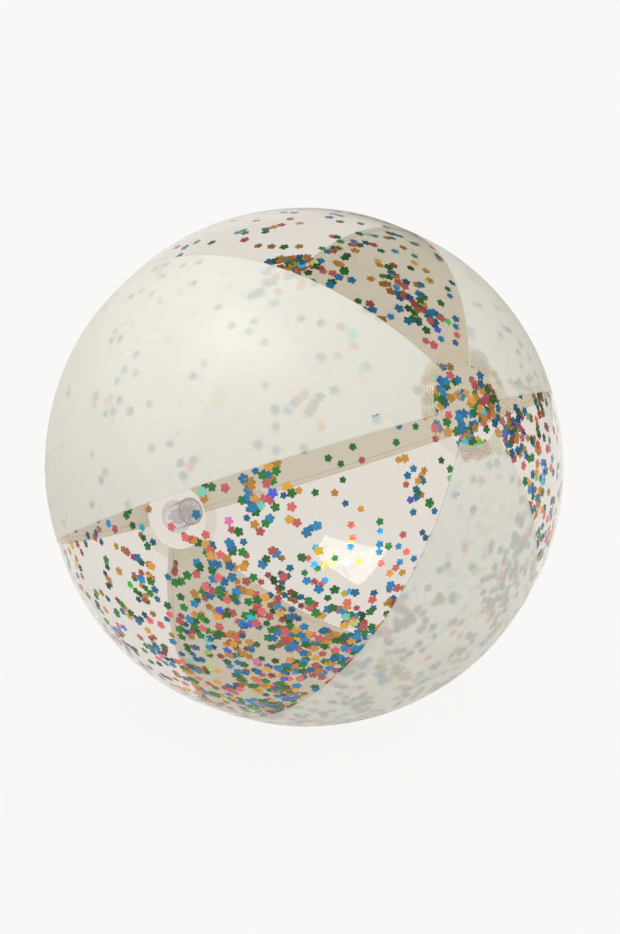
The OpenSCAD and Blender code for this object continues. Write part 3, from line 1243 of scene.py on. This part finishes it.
def studio_world(studio):
    """Even paper backdrop, with softer light from the ceiling than from the walls."""
    world = bpy.data.worlds.new("studio")
    world.use_nodes = True
    tree = world.node_tree
    tree.nodes.clear()
    place = node(tree, "ShaderNodeTexCoord").outputs["Generated"]
    height = node(tree, "ShaderNodeSeparateXYZ", [(0, place)]).outputs["Z"]
    towards = along_axis(tree, place, compass(studio.wall_azimuth, 0.0))
    walls = ramp(tree, towards, -0.8, 0.8, studio.dim, studio.fill)
    shade = ramp(tree, height, 0.35, 0.9, 1.0, studio.ceiling)
    soft = maths(tree, "MULTIPLY", walls, shade)
    sharp = ramp(tree, height, 0.4, 0.85, studio.mirrored, 0.08)
    flag = ramp(tree, along_axis(tree, place, DARK_SIDE), 0.6, 0.85, 1.0, 0.15)
    sharp = maths(tree, "MULTIPLY", sharp, flag)
    mirrored = node(tree, "ShaderNodeLightPath").outputs["Is Glossy Ray"]
    strength = node(tree, "ShaderNodeMix", [("Factor", mirrored), ("A", soft), ("B", sharp)])
    light = shining(tree, studio.paper, strength.outputs["Result"], "ShaderNodeBackground")
    paper = shining(tree, studio.paper, 1.0, "ShaderNodeBackground")
    seen = node(tree, "ShaderNodeLightPath").outputs["Is Camera Ray"]
    out = node(tree, "ShaderNodeOutputWorld")
    tree.links.new(mixed(tree, seen, light, paper), out.inputs[0])
    return world


def softbox(studio):
    """Five-sided soft light, up and to the left of the camera."""
    material, tree, out = new_material("softbox")
    mirrored = node(tree, "ShaderNodeLightPath").outputs["Is Glossy Ray"]
    strength = ramp(tree, mirrored, 0.0, 1.0, studio.softbox, studio.softbox_mirrored)
    tree.links.new(shining(tree, studio.lamp, strength), out.inputs[0])
    mesh = bpy.data.meshes.new("softbox")
    mesh.from_pydata(SOFTBOX_CORNERS, [], [(0, 1, 2, 3, 4)])
    mesh.materials.append(material)
    panel = bpy.data.objects.new("softbox", mesh)
    panel.visible_camera = False
    bpy.context.scene.collection.objects.link(panel)
    return panel


def studio_camera(studio):
    """Camera at the height of a low table, aimed level at the ball."""
    data = bpy.data.cameras.new("camera")
    data.lens = studio.lens
    camera = bpy.data.objects.new("camera", data)
    bpy.context.scene.collection.objects.link(camera)
    back = compass(studio.camera_azimuth, studio.camera_elevation)
    right = Vector((math.cos(studio.camera_azimuth), math.sin(studio.camera_azimuth), 0.0))
    camera.location = right * studio.camera_aside + back * studio.camera_distance
    camera.rotation_euler = back.to_track_quat("Z", "Y").to_euler()
    bpy.context.scene.camera = camera


class BEACHBALL_OT_studio(bpy.types.Operator):
    """Add the pale floor, the soft light and the camera"""

    bl_idname = "beachball.studio"
    bl_label = "Studio"

    def execute(self, context):
        scene = context.scene
        studio = scene.ball_studio
        paper_floor(studio)
        scene.world = studio_world(studio)
        softbox(studio)
        studio_camera(studio)
        scene.view_settings.view_transform = "Standard"
        scene.cycles.transparent_max_bounces = 40
        scene.cycles.max_bounces = 16
        scene.cycles.diffuse_bounces = 8
        scene.cycles.transmission_bounces = 8
        scene.cycles.sample_clamp_indirect = 6.0
        return {"FINISHED"}


# ---------------------------------------------------------------- add-on


OPERATORS = (
    BEACHBALL_OT_studio,
    BEACHBALL_OT_cream_gores,
    BEACHBALL_OT_clear_gores,
    BEACHBALL_OT_end_caps,
    BEACHBALL_OT_valve,
    BEACHBALL_OT_confetti,
)

SETTINGS = {
    "ball_film": FilmShape,
    "ball_cap": CapShape,
    "ball_valve": ValveShape,
    "ball_film_look": FilmLook,
    "ball_valve_look": ValveLook,
    "ball_confetti": ConfettiMix,
    "ball_studio": Studio,
}


class BEACHBALL_PT_panel(bpy.types.Panel):
    """Lists the pieces of the ball and their settings"""

    bl_idname = "BEACHBALL_PT_panel"
    bl_label = "Beach Ball"
    bl_space_type = "VIEW_3D"
    bl_region_type = "UI"
    bl_category = "Beach Ball"

    def draw(self, context):
        for operator in OPERATORS:
            self.layout.operator(operator.bl_idname)
        for name, group in SETTINGS.items():
            box = self.layout.box()
            box.label(text=group.__doc__)
            for prop in group.__annotations__:
                box.prop(getattr(context.scene, name), prop)


def register():
    for group in SETTINGS.values():
        bpy.utils.register_class(group)
    for name, group in SETTINGS.items():
        setattr(bpy.types.Scene, name, bpy.props.PointerProperty(type=group))
    for shown in (*OPERATORS, BEACHBALL_PT_panel):
        bpy.utils.register_class(shown)


def unregister():
    for shown in (BEACHBALL_PT_panel, *reversed(OPERATORS)):
        bpy.utils.unregister_class(shown)
    for name, group in SETTINGS.items():
        delattr(bpy.types.Scene, name)
        bpy.utils.unregister_class(group)


def main():
    register()
    for operator in OPERATORS:
        group, name = operator.bl_idname.split(".")
        getattr(getattr(bpy.ops, group), name)()


if __name__ == "__main__":
    main()
